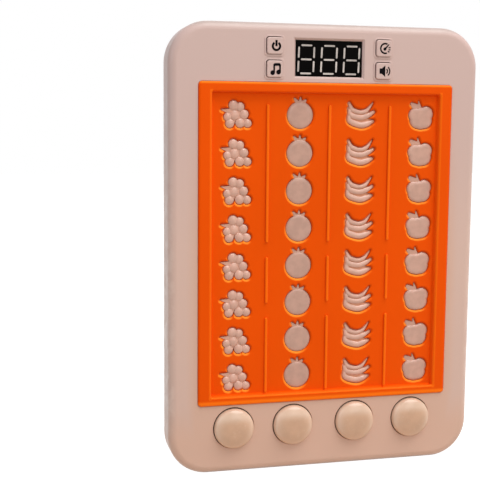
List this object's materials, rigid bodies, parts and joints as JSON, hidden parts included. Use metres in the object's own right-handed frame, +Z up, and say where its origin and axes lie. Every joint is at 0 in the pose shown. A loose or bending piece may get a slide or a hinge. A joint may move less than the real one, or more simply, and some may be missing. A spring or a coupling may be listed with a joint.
{
  "type": "handheld game console",
  "caption": "Upright handheld fruit reaction game: rounded tray housing, sunken panel of fruit-shaped lenses, figure display, small keys and domed play buttons.",
  "frame": {"origin": "centre of the bottom of the bounding box, on the surface the console stands on", "axes": "+Z up along the face, -Y out of the face towards the player, +X to the player's right"},
  "size_m": [0.15, 0.0302, 0.2092],
  "materials": {
    "shell_white": "satin moulded",
    "panel_orange": "semi-gloss moulded",
    "lens_white": "translucent milky",
    "button_cream": "smooth semi-gloss",
    "display_black": "dark polished",
    "baffle_white": "matt",
    "board_green": "solder resist",
    "switch_black": "matt",
    "speaker_black": "black coated",
    "magnet_grey": "plated",
    "steel": "zinc plated",
    "cell_wrap": "plain printed sleeve",
    "lead_red": "insulated wire",
    "lead_black": "insulated wire"
  },
  "bodies": {
    "case": {"front_housing": "shell_white", "rear_housing": "panel_orange", "game_panel": "panel_orange", "lens_strip_grape": "lens_white", "lens_strip_pomegranate": "lens_white", "lens_strip_banana": "lens_white", "lens_strip_apple": "lens_white", "display_module": "display_black", "light_baffle": "baffle_white", "main_board": "board_green", "key_switch_power": "switch_black", "key_switch_music": "switch_black", "key_switch_speed": "switch_black", "key_switch_sound": "switch_black", "button_switch_1": "switch_black", "button_switch_2": "switch_black", "button_switch_3": "switch_black", "button_switch_4": "switch_black", "speaker_cone": "switch_black", "speaker_frame": "speaker_black", "speaker_magnet": "magnet_grey", "case_screw_1": "steel", "case_screw_2": "steel", "case_screw_3": "steel", "case_screw_4": "steel", "case_screw_5": "steel", "case_screw_6": "steel", "board_screw_1": "steel", "board_screw_2": "steel", "board_screw_3": "steel", "board_screw_4": "steel", "contact_plate_1": "steel", "contact_plate_2": "steel", "contact_plate_3": "steel", "contact_spring_1": "steel", "contact_spring_2": "steel", "contact_spring_3": "steel", "battery_cell_1": "cell_wrap", "battery_cell_2": "cell_wrap", "battery_cell_3": "cell_wrap", "battery_lead_2": "lead_red", "speaker_lead_2": "lead_red", "battery_lead_1": "lead_black", "speaker_lead_1": "lead_black"},
    "play_button_1": {"play_button_1": "button_cream"},
    "play_button_2": {"play_button_2": "button_cream"},
    "play_button_3": {"play_button_3": "button_cream"},
    "play_button_4": {"play_button_4": "button_cream"},
    "key_power": {"key_power": "shell_white", "key_plunger_power": "button_cream"},
    "key_music": {"key_music": "shell_white", "key_plunger_music": "button_cream"},
    "key_speed": {"key_speed": "shell_white", "key_plunger_speed": "button_cream"},
    "key_sound": {"key_sound": "shell_white", "key_plunger_sound": "button_cream"},
    "battery_door": {"battery_door": "panel_orange", "door_screw": "steel"}
  },
  "joints": [
    {"name": "play_button_1_press", "type": "slide", "parent": "case", "child": "play_button_1", "axis": [0, 1, 0], "range_m": [0, 0.002], "stiffness_N_per_m": 450, "springref_m": -0.0005},
    {"name": "play_button_2_press", "type": "slide", "parent": "case", "child": "play_button_2", "axis": [0, 1, 0], "range_m": [0, 0.002], "stiffness_N_per_m": 450, "springref_m": -0.0005},
    {"name": "play_button_3_press", "type": "slide", "parent": "case", "child": "play_button_3", "axis": [0, 1, 0], "range_m": [0, 0.002], "stiffness_N_per_m": 450, "springref_m": -0.0005},
    {"name": "play_button_4_press", "type": "slide", "parent": "case", "child": "play_button_4", "axis": [0, 1, 0], "range_m": [0, 0.002], "stiffness_N_per_m": 450, "springref_m": -0.0005},
    {"name": "key_power_press", "type": "slide", "parent": "case", "child": "key_power", "axis": [0, 1, 0], "range_m": [0, 0.0005], "stiffness_N_per_m": 1500, "springref_m": -0.0003},
    {"name": "key_music_press", "type": "slide", "parent": "case", "child": "key_music", "axis": [0, 1, 0], "range_m": [0, 0.0005], "stiffness_N_per_m": 1500, "springref_m": -0.0003},
    {"name": "key_speed_press", "type": "slide", "parent": "case", "child": "key_speed", "axis": [0, 1, 0], "range_m": [0, 0.0005], "stiffness_N_per_m": 1500, "springref_m": -0.0003},
    {"name": "key_sound_press", "type": "slide", "parent": "case", "child": "key_sound", "axis": [0, 1, 0], "range_m": [0, 0.0005], "stiffness_N_per_m": 1500, "springref_m": -0.0003},
    {"name": "battery_door_hinge", "type": "hinge", "parent": "case", "child": "battery_door", "pos_m": [0, 0.0151, 0.054], "axis": [-1, 0, 0], "range_deg": [0, 75]}
  ]
}
